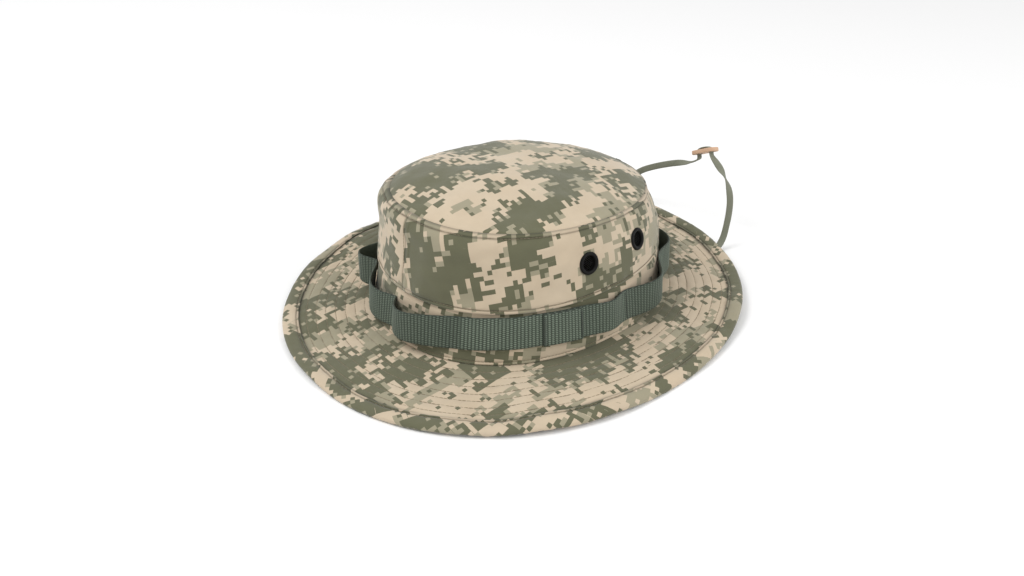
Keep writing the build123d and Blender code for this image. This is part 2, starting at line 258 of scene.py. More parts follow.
def make_mesh(name, points, faces, cloth=None, smooth=True):
    """An object from points, in millimetres. cloth gives each face corner's place on the flat cloth."""
    mesh = bpy.data.meshes.new(name)
    mesh.from_pydata((np.asarray(points).reshape(-1, 3) * MM).tolist(), [], faces)
    if cloth is not None:
        layer = mesh.uv_layers.new(name="cloth")
        layer.data.foreach_set("uv", (np.asarray(cloth, dtype=np.float32) / 10).ravel())
    mesh.polygons.foreach_set("use_smooth", [smooth] * len(mesh.polygons))
    mesh.update()
    return new_object(name, mesh)


def grid_faces(rows, columns, ring, tube):
    """Quads of a grid, closed round its rows as a ring, or round its columns as a tube."""
    i = np.arange(rows if ring else rows - 1)[:, None]
    j = np.arange(columns if tube else columns - 1)[None, :]
    i2, j2 = (i + 1) % rows, (j + 1) % columns
    i, j, i2, j2 = np.broadcast_arrays(i, j, i2, j2)
    corners = [i * columns + j, i2 * columns + j, i2 * columns + j2, i * columns + j2]
    return np.stack(corners, axis=-1).reshape(-1, 4)


def grid_mesh(name, points, cloth, ring=False, tube=False, flip=False):
    """A skin over a grid of points. cloth has one more row for a ring, and one more column for a tube."""
    rows, columns = points.shape[:2]
    faces = grid_faces(rows, columns, ring, tube)
    i = np.arange(rows if ring else rows - 1)[:, None]
    j = np.arange(columns if tube else columns - 1)[None, :]
    i, j = np.broadcast_arrays(i, j)
    corners = [cloth[i, j], cloth[i + 1, j], cloth[i + 1, j + 1], cloth[i, j + 1]]
    uv = np.stack(corners, axis=2).reshape(-1, 4, 2)
    if flip:
        faces, uv = faces[:, ::-1], uv[:, ::-1]
    return make_mesh(name, points, faces.tolist(), uv.reshape(-1, 2))


def tube_mesh(name, tubes):
    """One mesh of many closed tubes, each given as its rings of points."""
    faces, start = [], 0
    for tube in tubes:
        rings, sides = tube.shape[:2]
        faces += (grid_faces(rings, sides, ring=False, tube=True) + start).tolist()
        last = start + (rings - 1) * sides
        faces += [list(range(start, start + sides)), list(range(last, last + sides))[::-1]]
        start += rings * sides
    return make_mesh(name, np.concatenate([tube.reshape(-1, 3) for tube in tubes]), faces)


def mark_points(piece, mark, share):
    """Gives each point a number from 0 to 1 for its material: fold, painted shade in a cloth's seams and
    grooves; crest, the webbing's crests, which get a painted highlight, with painted shade between them.
    """
    attribute = piece.data.attributes.new(mark, "FLOAT", "POINT")
    attribute.data.foreach_set("value", np.ascontiguousarray(share, dtype=np.float32).ravel())


def thicken(piece, thick, lining_slot=False):
    solid = piece.modifiers.new("thickness", "SOLIDIFY")
    solid.thickness = thick * MM
    solid.offset = -1
    solid.use_even_offset = False
    if lining_slot:
        solid.material_offset = 1
        solid.material_offset_rim = 1


def finish_piece(piece, slot, materials, *replaced, body="hat"):
    """Gives a piece its materials, puts it on its body and hides the CAD nodes that it replaces. slot is not
    used.
    """
    for material in materials:
        piece.data.materials.append(material)
    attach(piece, body)
    if replaced:
        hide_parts(*replaced)
    return piece


# A stitch's rings: how far along it each is, and its size and lift as shares of the thread's radius.
STITCH_RINGS = np.array([(0.0, 0.25, -0.5), (0.12, 0.85, 0.15), (0.5, 1.0, 0.35), (0.88, 0.85, 0.15),
                         (1.0, 0.25, -0.5)])
THREAD_SIDES = round_turns(5)


def stitches(name, rows, thread=0.2, length=2.75, pitch=2.9):
    """Rows of separate machine stitches, each a short bowed grain of thread lying on the cloth."""
    ring_at, ring_size, ring_lift = STITCH_RINGS.T
    every = []
    for path, normal in rows:
        travelled = along(path)
        at = np.arange(0, travelled[-1] - length, pitch)[:, None] + ring_at[None, :] * length
        centre = np.stack([np.interp(at, travelled, path[:, k]) for k in range(3)], axis=-1)
        up = np.stack([np.interp(at, travelled, normal[:, k]) for k in range(3)], axis=-1)
        up /= np.linalg.norm(up, axis=-1, keepdims=True)
        forward = centre[:, -1:, :] - centre[:, :1, :]
        forward = forward / np.linalg.norm(forward, axis=-1, keepdims=True)
        across = np.cross(up, np.broadcast_to(forward, up.shape))
        centre = centre + up * (ring_lift * thread)[None, :, None]
        around = (across[:, :, None, :] * np.cos(THREAD_SIDES)[:, None]
                  + up[:, :, None, :] * np.sin(THREAD_SIDES)[:, None])
        every.append(centre[:, :, None, :] + around * (ring_size * thread)[None, :, None, None])
    piece = tube_mesh(name, np.concatenate(every))
    return finish_piece(piece, "thread", [WOVEN["seam_thread"]])


# ---------------------------------------------------------------- materials


class Nodes:
    """Short names for building a material's node tree."""

    def __init__(self, name):
        self.material = bpy.data.materials.new(name)
        self.material.use_nodes = True
        self.tree = self.material.node_tree
        self.shader = self.tree.nodes["Principled BSDF"]

    def node(self, kind, **settings):
        made = self.tree.nodes.new(kind)
        for key, value in settings.items():
            setattr(made, key, value)
        return made

    def link(self, source, target):
        self.tree.links.new(source, target)

    def feed(self, socket, value):
        if isinstance(value, bpy.types.NodeSocket):
            self.link(value, socket)
        else:
            socket.default_value = value

    def math(self, operation, a, b=0.0, c=0.0, clamp=False):
        made = self.node("ShaderNodeMath", operation=operation, use_clamp=clamp)
        for socket, value in zip(made.inputs, (a, b, c)):
            self.feed(socket, value)
        return made.outputs[0]

    def vector(self, operation, a, b=(0, 0, 0)):
        made = self.node("ShaderNodeVectorMath", operation=operation)
        self.feed(made.inputs[0], a)
        if operation == "SCALE":
            self.feed(made.inputs["Scale"], b)
        else:
            self.feed(made.inputs[1], b)
        return made.outputs[0]

    def noise(self, vector, scale, detail=2.0, roughness=0.5):
        made = self.node("ShaderNodeTexNoise")
        self.feed(made.inputs["Vector"], vector)
        made.inputs["Scale"].default_value = scale
        made.inputs["Detail"].default_value = detail
        made.inputs["Roughness"].default_value = roughness
        return made.outputs["Fac"]

    def white(self, vector):
        made = self.node("ShaderNodeTexWhiteNoise", noise_dimensions="3D")
        self.feed(made.inputs["Vector"], vector)
        return made.outputs["Value"]

    def mix(self, share, a, b):
        made = self.node("ShaderNodeMix", data_type="RGBA")
        self.feed(made.inputs["Factor"], share)
        self.feed(made.inputs["A"], a)
        self.feed(made.inputs["B"], b)
        return made.outputs["Result"]

    def uv(self):
        return self.node("ShaderNodeUVMap", uv_map="cloth").outputs[0]

    def place(self):
        return self.node("ShaderNodeTexCoord").outputs["Object"]

    def bump(self, height, distance, strength=1.0, under=None):
        made = self.node("ShaderNodeBump")
        made.inputs["Strength"].default_value = strength
        made.inputs["Distance"].default_value = distance
        self.feed(made.inputs["Height"], height)
        if under is not None:
            self.link(under, made.inputs["Normal"])
        return made.outputs[0]

    def surface(self, colour, rough, normal=None, **constants):
        self.feed(self.shader.inputs["Base Color"], colour)
        self.feed(self.shader.inputs["Roughness"], rough)
        if normal is not None:
            self.link(normal, self.shader.inputs["Normal"])
        for key, value in constants.items():
            self.shader.inputs[key.replace("_", " ")].default_value = value
        return self.material


PIXEL = 0.28                                    # side of one printed square, in centimetres
FOLIAGE = (0.121, 0.120, 0.070, 1)
SLATE = (0.312, 0.282, 0.194, 1)
SAND = (0.515, 0.410, 0.286, 1)
PALE_SAND = (0.565, 0.476, 0.355, 1)
WASHED = (0.42, 0.40, 0.31, 1)                  # what the print fades towards on its reverse
DARK_ABOVE, SLATE_ABOVE = 0.512, 0.518          # noise above these is printed dark, or slate
THREADS = 22.0                                  # threads of the cloth in each centimetre


def camouflage_material(name, faded=0.0):
    """Three-colour pixel print: noise read at the middle of each square of the cloth's grid."""
    nodes = Nodes(name)
    uv = nodes.uv()
    squares = nodes.vector("SCALE", uv, 1 / PIXEL)

    def cells(across, up):
        """The grid's squares, joined into larger or longer cells by counts below 1."""
        return nodes.vector("FLOOR", nodes.vector("MULTIPLY", squares, (across, up, 1.0)))

    def scatter(places, *shift):
        return nodes.white(nodes.vector("ADD", places, shift))

    def blend(first, second):
        """One field from two, with the jitter that breaks up the edges of its patches."""
        return nodes.math("ADD", nodes.math("MULTIPLY", first, 0.55),
                          nodes.math("MULTIPLY_ADD", second, 0.45, jitter))

    cell = nodes.vector("FLOOR", squares)
    tall, wide = cells(1.0, 0.5), cells(0.5, 1.0)
    stretched = nodes.vector("MULTIPLY", cell, (1.0, 0.62, 1.0))
    block = nodes.vector("MULTIPLY", cells(0.5, 0.3333), (2.0, 1.86, 1.0))
    jitter = nodes.math("MULTIPLY_ADD", nodes.math("ADD", nodes.white(tall), scatter(wide, 7.0, 3.0, 9.0)),
                        0.045, -0.045)
    broad_dark = nodes.noise(nodes.vector("ADD", block, (0.5, 0.5, 3.3)), 0.095, 2.0, 0.6)
    dark_field = blend(nodes.noise(stretched, 0.125, 2.0, 0.5), broad_dark)
    fine_pale = nodes.noise(nodes.vector("ADD", stretched, (31.0, 77.0, 9.0)), 0.12, 2.0, 0.5)
    broad_pale = nodes.noise(nodes.vector("ADD", block, (53.0, 17.0, 5.0)), 0.12, 2.0, 0.6)
    pale_field = blend(broad_pale, fine_pale)

    is_dark = nodes.math("GREATER_THAN", dark_field, DARK_ABOVE)
    is_slate = nodes.math("GREATER_THAN", pale_field, SLATE_ABOVE)
    stray = nodes.math("MAXIMUM", scatter(cell, 11.0, 31.0, 2.0),
                       nodes.math("MULTIPLY", scatter(wide, 5.0, 8.0, 4.0), 0.99))
    from_edge = nodes.math("ABSOLUTE", nodes.math("SUBTRACT", dark_field, DARK_ABOVE))
    fringe = nodes.math("MULTIPLY_ADD", from_edge, 1.7, 0.875)
    speck = nodes.math("GREATER_THAN", stray, nodes.math("MINIMUM", fringe, 0.985))

    patch = nodes.noise(uv, 0.35, 1.0)
    sand = nodes.mix(patch, SAND, PALE_SAND)
    pale = nodes.mix(is_slate, sand, SLATE)
    pale = nodes.mix(speck, pale, FOLIAGE)
    dark = nodes.mix(speck, FOLIAGE, SLATE)
    colour = nodes.mix(is_dark, pale, dark)
    worn = nodes.noise(nodes.place(), 60.0, 4.0, 0.6)
    # The print's value varies at random (worn) and is darkened by painted shade where the fold mark is set:
    # in stitched grooves, along seams and beside the edge band's fold.
    fold = nodes.node("ShaderNodeAttribute", attribute_name="fold").outputs["Fac"]
    wear_and_seam_shade = nodes.math("MULTIPLY_ADD", fold, -0.5, nodes.math("MULTIPLY_ADD", worn, 0.22, 0.89))
    tone = nodes.node("ShaderNodeHueSaturation")
    nodes.link(colour, tone.inputs["Color"])
    nodes.link(wear_and_seam_shade, tone.inputs["Value"])
    tone.inputs["Saturation"].default_value = 1.0 - 0.25 * faded
    colour = tone.outputs[0]
    if faded:
        colour = nodes.mix(faded, colour, WASHED)
    crease = nodes.bump(nodes.noise(nodes.place(), 900.0, 3.0, 0.6), 0.00012, 0.35)
    split = nodes.node("ShaderNodeSeparateXYZ")
    nodes.link(uv, split.inputs[0])
    warp, weft = [nodes.math("SINE", nodes.math("MULTIPLY", split.outputs[axis], 2 * pi * THREADS))
                  for axis in (0, 1)]
    normal = nodes.bump(nodes.math("MULTIPLY", warp, weft), 0.00005, 0.4, under=crease)
    rough = nodes.math("MULTIPLY_ADD", worn, 0.15, 0.78)
    return nodes.surface(colour, rough, normal, Sheen_Weight=0.25, Sheen_Roughness=0.5,
                         Specular_IOR_Level=0.25)


def woven_material(name, low, high, scale, depth=0.00015, rough=0.85):
    """Thread, tape or twill: fine noise between two near colours."""
    nodes = Nodes(name)
    place = nodes.place()
    fibres = nodes.noise(place, scale, 3.0, 0.6)
    cloudy = nodes.noise(place, 45.0, 2.0, 0.5)
    share = nodes.math("MULTIPLY_ADD", cloudy, 0.5, nodes.math("MULTIPLY", fibres, 0.5), clamp=True)
    colour = nodes.mix(share, low, high)
    return nodes.surface(colour, nodes.math("MULTIPLY_ADD", fibres, 0.15, rough - 0.08),
                         nodes.bump(fibres, depth, 0.6), Sheen_Weight=0.15, Specular_IOR_Level=0.25)


def webbing_material():
    """Ribbed nylon webbing: the raised weft floats get a painted highlight and the gaps between them painted
    shade; the floats are also shinier.
    """
    nodes = Nodes("webbing_nylon")
    crest = nodes.node("ShaderNodeAttribute", attribute_name="crest").outputs["Fac"]
    place = nodes.place()
    fibres = nodes.noise(place, 1500.0, 2.0, 0.6)
    cloudy = nodes.noise(place, 35.0, 3.0, 0.5)
    # low is painted shade for the gaps between the floats and high a painted highlight on them; crest sets
    # the share.
    low = nodes.mix(cloudy, (0.012, 0.019, 0.012, 1), (0.024, 0.035, 0.024, 1))
    high = nodes.mix(cloudy, (0.195, 0.250, 0.185, 1), (0.320, 0.395, 0.300, 1))
    share = nodes.math("MULTIPLY_ADD", fibres, 0.3, nodes.math("SUBTRACT", crest, 0.17), clamp=True)
    rough = nodes.math("MULTIPLY_ADD", crest, -0.18, 0.72)
    return nodes.surface(nodes.mix(share, low, high), rough, nodes.bump(fibres, 0.0001, 0.4),
                         Sheen_Weight=0.1, Specular_IOR_Level=0.4)


def enamel_material(name, grain):
    """Black enamel, a little rubbed on its high places."""
    nodes = Nodes(name)
    specks = nodes.noise(nodes.place(), grain, 3.0, 0.6)
    colour = nodes.mix(specks, (0.003, 0.003, 0.003, 1), (0.010, 0.010, 0.009, 1))
    return nodes.surface(colour, nodes.math("MULTIPLY_ADD", specks, 0.25, 0.30),
                         nodes.bump(specks, 0.00004, 0.3), Specular_IOR_Level=0.12)


def leather_material():
    """Undyed leather with fine pores."""
    nodes = Nodes("slide_leather")
    place = nodes.place()
    pores = nodes.node("ShaderNodeTexVoronoi")
    nodes.link(place, pores.inputs["Vector"])
    pores.inputs["Scale"].default_value = 1400.0
    cloudy = nodes.noise(place, 160.0, 4.0, 0.6)
    colour = nodes.mix(cloudy, (0.50, 0.29, 0.175, 1), (0.74, 0.52, 0.36, 1))
    height = nodes.math("MULTIPLY_ADD", cloudy, 0.6, pores.outputs["Distance"])
    return nodes.surface(colour, nodes.math("MULTIPLY_ADD", cloudy, 0.2, 0.45),
                         nodes.bump(height, 0.00015, 0.5), Specular_IOR_Level=0.4)


# Each woven cloth or thread: its two colours, the scale and depth of its fibres, and its roughness.
WOVEN_LOOKS = {
    "seam_thread": ((0.17, 0.135, 0.085, 1), (0.29, 0.235, 0.155, 1), 1500.0, 0.00005),
    "tack_thread": ((0.06, 0.08, 0.058, 1), (0.11, 0.14, 0.105, 1), 1500.0, 0.00005),
    "lace_braid": ((0.125, 0.134, 0.098, 1), (0.265, 0.27, 0.208, 1), 1100.0, 0.0003),
    "sweat_twill": ((0.10, 0.11, 0.08, 1), (0.17, 0.18, 0.135, 1), 900.0),
    "tape_weave": ((0.085, 0.095, 0.07, 1), (0.15, 0.16, 0.12, 1), 800.0),
    "stiffener": ((0.55, 0.53, 0.46, 1), (0.70, 0.68, 0.60, 1), 800.0),
    "label_satin": ((0.66, 0.65, 0.61, 1), (0.78, 0.77, 0.73, 1), 900.0, 0.00015, 0.55),
}

PRINTED = [camouflage_material("camouflage_cloth")]
LINED = PRINTED + [camouflage_material("camouflage_reverse", faded=0.45)]
webbing_nylon = webbing_material()
WOVEN = {name: woven_material(name, *look) for name, look in WOVEN_LOOKS.items()}
black_enamel = enamel_material("black_enamel", 220.0)
black_wire = enamel_material("black_wire", 900.0)
slide_leather = leather_material()

# ---------------------------------------------------------------- chin strap and its slide

LACE = 5.0
LACE_THICK = 1.2
LACE_SIDES = 20
BRAID_STEP = 1.6
SLIDE_SIZE = (23.0, 11.0, 3.0)
SLIDE_CENTRE = Vector((9.5, 179.1, 66.3))
SLIDE_LONG = Vector((0.896, 0.09, 0.435)).normalized()
SLIDE_UP = Vector((-0.42, 0.25, 0.87))
SLIDE_UP = (SLIDE_UP - SLIDE_LONG * SLIDE_UP.dot(SLIDE_LONG)).normalized()
SLIDE_EDGE = 0.45                               # radius of its rounded edges
SLIDE_HOLES = 11.4                              # between the middles of its two holes
SLIDE_HOLE_RADIUS = 2.8
BIGHT_HEIGHT, BIGHT_SPREAD = 2.8, 0.8           # where the lace turns over above the slide

left_hole = SLIDE_CENTRE - SLIDE_LONG * (SLIDE_HOLES / 2)
right_hole = SLIDE_CENTRE + SLIDE_LONG * (SLIDE_HOLES / 2)
lace_left = [
    (-81.4, 0, 15), (-81.4, 0, 9.3), (-81.6, 3.6, 5.2), (-82, 11.5, 3),
    (-82.3, 23, 2.5), (-81.5, 42, 2.5),
    (-77, 70, 2.5), (-70, 101, 2.5), (-66, 130, 2.5), (-65, 148.5, 2.5), (-65.5, 159.5, 4.6),
    (-63.5, 166.5, 12), (-58, 169.3, 23), (-48.3, 171, 32.6), (-34.5, 173, 40.4), (-20, 174.7, 47.2),
    (-10.5, 175.7, 50.9), (-3, 176.3, 52.8),
]
lace_fold = [
    left_hole - SLIDE_UP * 5.6 - SLIDE_LONG * 0.9, left_hole - SLIDE_UP * 3.2,
    left_hole + SLIDE_UP * BIGHT_HEIGHT - SLIDE_LONG * BIGHT_SPREAD,
    right_hole + SLIDE_UP * BIGHT_HEIGHT + SLIDE_LONG * BIGHT_SPREAD,
    right_hole - SLIDE_UP * 3.2, right_hole - SLIDE_UP * 5.6 + SLIDE_LONG * 0.9,
]
lace_right = [
    (24.5, 178, 59.8), (31.5, 176.8, 55), (38.5, 175.2, 48.5), (43.1, 173.3, 39), (44.4, 171.8, 28.3),
    (44.4, 170.2, 17.6), (44.4, 168.3, 9), (45.6, 162, 3.5), (47.5, 150, 2.5), (50, 129, 2.5),
    (57.5, 100, 2.5), (67.5, 71, 2.5), (76.5, 42.5, 2.5), (80.6, 23, 2.5), (81.6, 11.5, 3), (81.5, 3.6, 5.2),
    (81.4, 0, 9.3), (81.4, 0, 15),
]
# Which way the lace's flat face looks, by share of the lace's length. It lies flat on the floor and
# turns over on its way up, so that it shows narrow at each twist.
LACE_FACES = [
    (0.00, (1, 0, 0)), (0.03, (0.3, 0, 1)), (0.08, (0, 0, 1)), (0.29, (0, -0.3, 1)),
    (0.33, (0.2, -1, 0.3)), (0.41, (0.5, -0.8, 0.3)), (0.45, (0.45, -0.75, 0.5)), (0.475, (0.1, 0.0, 1)),
    (0.556, (0.6, -0.6, 0.3)), (0.576, (0.9, 0.45, 0)), (0.60, (0.7, -0.6, 0.3)),
    (0.65, (0.75, -0.6, 0)), (0.70, (0, -0.6, 1)), (0.75, (0, 0, 1)), (0.92, (0, 0, 1)),
    (0.97, (-0.3, 0, 1)), (1.00, (-1, 0, 0)),
]


def smooth_line(points):
    """Points along the NURBS spline that has these points, in millimetres, as its control points."""
    curve = bpy.data.curves.new("route", "CURVE")
    curve.dimensions = "3D"
    curve.resolution_u = 10
    spline = curve.splines.new("NURBS")
    spline.points.add(len(points) - 1)
    for target, point in zip(spline.points, points):
        target.co = (*[value * MM for value in point], 1)
    spline.order_u = 3
    spline.use_endpoint_u = True
    carrier = bpy.data.objects.new("route", curve)
    mesh = bpy.data.meshes.new_from_object(carrier)
    line = np.array([vertex.co for vertex in mesh.vertices]) / MM
    bpy.data.objects.remove(carrier)
    return line


def flat_lace(name, line, faces):
    """A flat lace along a line: a flattened tube with a ridge of braid, turned to look as faces say."""
    travelled = along(line)
    share = travelled / travelled[-1]
    forward = np.gradient(line, axis=0)
    forward /= np.linalg.norm(forward, axis=1, keepdims=True)
    at = [entry[0] for entry in faces]
    look = np.stack([np.interp(share, at, [entry[1][k] for entry in faces]) for k in range(3)], axis=-1)
    look -= forward * np.sum(look * forward, axis=1, keepdims=True)
    look /= np.linalg.norm(look, axis=1, keepdims=True)
    across = np.cross(forward, look)
    sides = round_turns(LACE_SIDES)
    wide = flattened(np.cos(sides), 0.7) * LACE / 2
    braid = 1 + 0.10 * np.cos(travelled[:, None] * 2 * pi / BRAID_STEP + 3 * sides[None, :])
    thick = flattened(np.sin(sides), 0.8) * LACE_THICK / 2
    points = (line[:, None, :] + across[:, None, :] * wide[None, :, None]
              + look[:, None, :] * (thick[None, :] * braid)[:, :, None])
    cloth = np.stack(np.meshgrid(travelled, np.arange(LACE_SIDES + 1) * 0.5, indexing="ij"), axis=-1)
    return grid_mesh(name, points, cloth, tube=True)


def fill_ends(piece, columns):
    """Caps the open ends of a tube whose rings have this many points."""
    bm = bmesh.new()
    bm.from_mesh(piece.data)
    bmesh.ops.holes_fill(bm, edges=[edge for edge in bm.edges if edge.is_boundary], sides=columns)
    bm.to_mesh(piece.data)
    bm.free()


def add_strap():
    route = lace_left + [tuple(point) for point in lace_fold] + lace_right
    line = smooth_line(route)
    travelled = along(line)
    through = []
    for place, look in ((left_hole - SLIDE_UP * 4, -SLIDE_LONG), (left_hole, -SLIDE_LONG),
                        (SLIDE_CENTRE + SLIDE_UP * BIGHT_HEIGHT, SLIDE_UP),
                        (right_hole, SLIDE_LONG), (right_hole - SLIDE_UP * 4, SLIDE_LONG)):
        nearest = np.argmin(np.linalg.norm(line - np.array(place), axis=1))
        through.append((travelled[nearest] / travelled[-1], tuple(look)))
    strap = flat_lace("strap_lace", line, sorted(LACE_FACES + through))
    fill_ends(strap, LACE_SIDES)
    finish_piece(strap, "lace", [WOVEN["lace_braid"]], "chin_strap")
    slide = add_slide()


def add_slide():
    """Leather oblong with rounded edges and two round holes, cut from a filled outline."""
    curve = bpy.data.curves.new("slide_outline", "CURVE")
    curve.dimensions = "2D"
    curve.fill_mode = "BOTH"
    curve.resolution_u = 12
    curve.extrude = (SLIDE_SIZE[2] / 2 - SLIDE_EDGE) * MM
    curve.bevel_depth = SLIDE_EDGE * MM
    curve.bevel_resolution = 3
    radius = SLIDE_SIZE[1] / 2 - SLIDE_EDGE
    straight = SLIDE_SIZE[0] / 2 - SLIDE_SIZE[1] / 2
    hole = SLIDE_HOLE_RADIUS + SLIDE_EDGE
    steps = 28
    all_round = 2 * pi - 2 * pi / steps
    outlines = [[(straight, radius, -pi / 2, pi / 2), (-straight, radius, pi / 2, 3 * pi / 2)],
                [(-SLIDE_HOLES / 2, hole, 0, all_round)], [(SLIDE_HOLES / 2, hole, 0, all_round)]]
    for arcs in outlines:
        corners = [(centre + size * np.cos(turn), size * np.sin(turn))
                   for centre, size, start, end in arcs for turn in np.linspace(start, end, steps)]
        spline = curve.splines.new("POLY")
        spline.points.add(len(corners) - 1)
        for target, (x, y) in zip(spline.points, corners):
            target.co = (x * MM, y * MM, 0, 1)
        spline.use_cyclic_u = True
    carrier = bpy.data.objects.new("slide_outline", curve)
    mesh = bpy.data.meshes.new_from_object(carrier)
    bpy.data.objects.remove(carrier)
    across = SLIDE_UP.cross(SLIDE_LONG)
    turn = Matrix((SLIDE_LONG, across, SLIDE_UP)).transposed().to_4x4()
    mesh.transform(Matrix.Translation(SLIDE_CENTRE * MM) @ turn)
    slide = new_object("leather_slide", mesh)
    return finish_piece(slide, "leather", [slide_leather], "strap_slide", body="slide")


add_strap()

# ---------------------------------------------------------------- crown

CLOTH = 0.55                                    # thickness of the printed cloth
DOME_SHIFT = (120, -240)                        # where on the cloth the top panel was cut
RIDGE = 0.55                                    # how far a folded and stitched seam stands proud
FOOT_GROOVE = 1.95                              # stitched groove above a side panel's lower edge
TOP_GROOVE = SIDE_HEIGHT - 2.3                  # and below its upper edge
SEAM_GROOVE = 1.6                               # and beside the upright seams
BAND_FOOT_GROOVE = 2.25                         # and above the lower band's lower edge
SIDE_CONE, BAND_CONE = 391.0, 690.0             # radii that those panels are cut to when they lie flat
UPRIGHT = np.array([1, 1, 0.25])                # makes a field of waves four times as tall as it is wide


def unrolled(turn, slant, radius, centre, shift):
    """Place on the flat cloth of a panel that is cut as part of a cone: slant is the way up the panel."""
    outline = np.stack(oval(turn, WAIST_X, WAIST_Y)[:2], axis=-1)
    distance = along(outline)
    middle = np.interp(centre, turn, distance)
    angle = (distance - middle)[:, None] / radius
    reach = radius - slant[None, :]
    flat = np.stack([reach * np.sin(angle), radius - reach * np.cos(angle)], axis=-1)
    return flat + np.array(shift)


def side_rows():
    """Heights up a side panel and how far each stands out: its folded foot, its body, its stitched top."""
    fold = [(1.8, -1.0), (0.6, -0.95), (-0.2, -0.6), (-0.45, 0.0), (-0.2, 0.6), (0.5, 0.95), (1.2, 0.9),
            (1.7, 0.6), (1.95, 0.3), (2.2, 0.55), (2.8, 0.72), (4.0, 0.62), (6.0, 0.45)]
    body = [(height, 0.25) for height in np.arange(8.0, SIDE_HEIGHT - 6, 1.5)]
    seam = [(-5.0, 0.15), (-3.8, 0.15), (-3.0, 0.12), (-2.55, -0.02), (-2.3, -0.16), (-2.05, 0.05),
            (-1.6, 0.42), (-1.0, 0.55), (-0.45, 0.42), (-0.1, -0.1), (0.05, -0.8), (-0.2, -1.6)]
    return np.array(fold + body + [(SIDE_HEIGHT + below, out) for below, out in seam])


def vent_places():
    """Middle and outward direction of each vent, on the side panels' cloth."""
    places = {}
    for place, (angle, share) in VENTS.items():
        turns = radians(angle) + np.array([0, 0, -0.02, 0.02])
        shares = share + np.array([-0.05, 0.05, 0, 0])
        low, high, before, after = side_points(turns, SIDE_HEIGHT * shares, 0.0)
        normal = np.cross(after - before, high - low)
        places[place] = ((low + high) / 2, normal / np.linalg.norm(normal))
    return places


VENT_PLACES = vent_places()
VENT_HOLE = 5.9                                 # radius of the hole in the cloth


def cut_vents(piece):
    """Opens the cloth behind each vent."""
    bm = bmesh.new()
    bm.from_mesh(piece.data)
    for middle, _ in VENT_PLACES.values():
        centre = Vector(middle) * MM
        inside = [vertex for vertex in bm.verts if (vertex.co - centre).length < VENT_HOLE * MM]
        bmesh.ops.delete(bm, geom=inside, context="VERTS")
    bm.to_mesh(piece.data)
    bm.free()


def add_side(name, start, end, shift, over):
    """One side panel. The one that lies over the other at the upright seams has folded, stitched edges."""
    ends = 7.0 / WAIST_Y
    inner = np.linspace(start + ends, end - ends, 230)
    low = start + np.linspace(0, 1, 22)[:-1] ** 1.5 * ends
    turn = np.concatenate([low, inner, (start + end - low)[::-1]])
    rows = side_rows()
    slant, out = rows[:, 0], rows[:, 1]
    shape = side_points(turn[:, None], slant[None, :], 0.0)
    from_seam = np.minimum(along(shape[:, 10]), along(shape[::-1, 10])[::-1])[:, None]
    offset = np.broadcast_to(out[None, :], shape.shape[:2]).copy()
    if over:
        offset += RIDGE * (1 - near(from_seam, 0.35)) * near(np.maximum(from_seam - 4.5, 0), 0.9)
        offset -= 0.35 * near(from_seam - SEAM_GROOVE, 0.45)
    else:
        offset -= 1.0 * near(np.maximum(from_seam - 4.0, 0), 0.8)
    inside = np.clip(slant / 4, 0, 1) * np.clip((SIDE_HEIGHT - slant) / 4, 0, 1)
    offset += 0.55 * waves(shape, 46, 3) * inside[None, :]
    offset += 0.20 * waves(shape, 15, 4) * inside[None, :]
    puckers = waves(shape * UPRIGHT, 8.5, 5)
    offset += 0.16 * puckers * (near(slant - 4, 3.5) + near(SIDE_HEIGHT - slant - 4, 3.0))[None, :]
    for middle, _ in VENT_PLACES.values():
        distance = np.linalg.norm(shape - middle, axis=-1)
        offset -= 0.30 * near(np.maximum(distance - 7.0, 0), 2.2) + 0.1 * near(distance - 12, 3)
    points = side_points(turn[:, None], slant[None, :], offset)
    cloth = unrolled(turn, slant, SIDE_CONE, (start + end) / 2, shift)
    piece = grid_mesh(name, points, cloth)
    # Painted shade in the stitched grooves below the top seam and above the foot, along the top seam, and
    # along the upright seams of the panel that lies over.
    seam_shade = 0.9 * near(slant - TOP_GROOVE, 0.5) + near(slant - SIDE_HEIGHT, 0.6)
    seam_shade = seam_shade[None, :] + 0.8 * near(slant - FOOT_GROOVE, 0.5)[None, :] + 0 * from_seam
    if over:
        seam_shade += 0.8 * (near(from_seam - SEAM_GROOVE, 0.5) + near(from_seam, 0.5))
    mark_points(piece, "fold", np.clip(seam_shade, 0, 1))
    cut_vents(piece)
    thicken(piece, CLOTH, lining_slot=True)
    return piece


def add_crown():
    tuck = 4.0 / WAIST_X
    left = add_side("side_panel_left", -pi / 2, pi / 2, (310, 95), over=True)
    finish_piece(left, "camouflage_cloth", LINED, "crown_side_left")
    right = add_side("side_panel_right", pi / 2 - tuck, 3 * pi / 2 + tuck, (930, 420), over=False)
    finish_piece(right, "camouflage_cloth", LINED, "crown_side_right")
    add_dome()
    add_lower_band()


